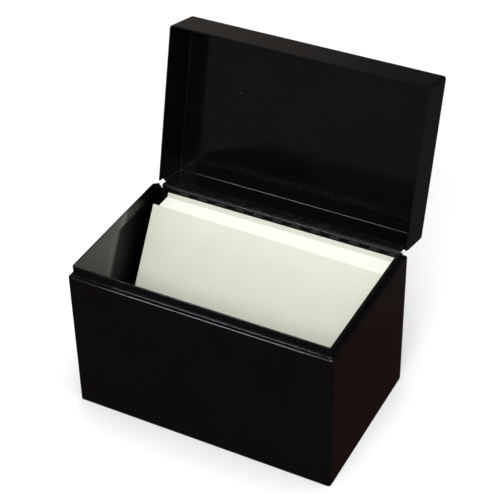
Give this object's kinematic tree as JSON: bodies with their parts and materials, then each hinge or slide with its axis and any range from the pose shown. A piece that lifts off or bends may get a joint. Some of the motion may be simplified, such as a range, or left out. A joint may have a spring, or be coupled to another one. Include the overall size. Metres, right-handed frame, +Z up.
{
  "type": "index card file box",
  "caption": "Enamelled sheet-steel desk box for index cards, with a deep lid on a full-width piano hinge, standing open over cards that lean back.",
  "frame": {"origin": "centre of the flat bottom, on the surface that the box stands on", "axes": "+Z up, front faces -Y, +X to the right seen from the front; lid open"},
  "size_m": [0.165, 0.1503, 0.1922],
  "materials": {
    "black_enamel": "gloss baked enamel",
    "hinge_enamel": "gloss baked enamel over the hinge, worn at the knuckles",
    "pin_steel": "bare drawn steel, browned at the ends",
    "card_stock": "smooth uncoated card",
    "guide_board": "calendered board"
  },
  "bodies": {
    "casing": {"casing_wrapper": "black_enamel", "back_panel": "black_enamel", "bottom_pan": "black_enamel", "hinge_leaf_casing": "hinge_enamel", "hinge_pin": "pin_steel"},
    "lid": {"lid_shell": "black_enamel", "hinge_leaf_lid": "hinge_enamel"},
    "card_stack": {"guide_card": "guide_board", "index_card_01": "card_stock", "index_card_02": "card_stock", "index_card_03": "card_stock", "index_card_04": "card_stock", "index_card_05": "card_stock", "index_card_06": "card_stock", "index_card_07": "card_stock", "index_card_08": "card_stock", "index_card_09": "card_stock", "index_card_10": "card_stock", "index_card_11": "card_stock", "index_card_12": "card_stock", "index_card_13": "card_stock", "index_card_14": "card_stock", "index_card_15": "card_stock", "index_card_16": "card_stock", "index_card_17": "card_stock", "index_card_18": "card_stock", "index_card_19": "card_stock", "index_card_20": "card_stock", "index_card_21": "card_stock", "index_card_22": "card_stock", "index_card_23": "card_stock", "index_card_24": "card_stock", "index_card_25": "card_stock", "index_card_26": "card_stock", "index_card_27": "card_stock", "index_card_28": "card_stock", "index_card_29": "card_stock", "index_card_30": "card_stock", "index_card_31": "card_stock", "index_card_32": "card_stock", "index_card_33": "card_stock", "index_card_34": "card_stock", "index_card_35": "card_stock", "index_card_36": "card_stock", "index_card_37": "card_stock"},
    "first_card": {"front_card": "card_stock"}
  },
  "joints": [
    {"name": "lid_hinge", "type": "hinge", "parent": "casing", "child": "lid", "pos_m": [0, 0.05104, 0.0941], "axis": [-1, 0, 0], "range_deg": [-103.5, 0]},
    {"name": "card_stack_lift", "type": "slide", "parent": "casing", "child": "card_stack", "axis": [0, 0, 1], "range_m": [0, 0.015]},
    {"name": "front_card_tip", "type": "hinge", "parent": "card_stack", "child": "first_card", "pos_m": [0, -0.01586, 0.0013], "axis": [0.9997, -0.0225, 0], "range_deg": [0, 44]}
  ]
}
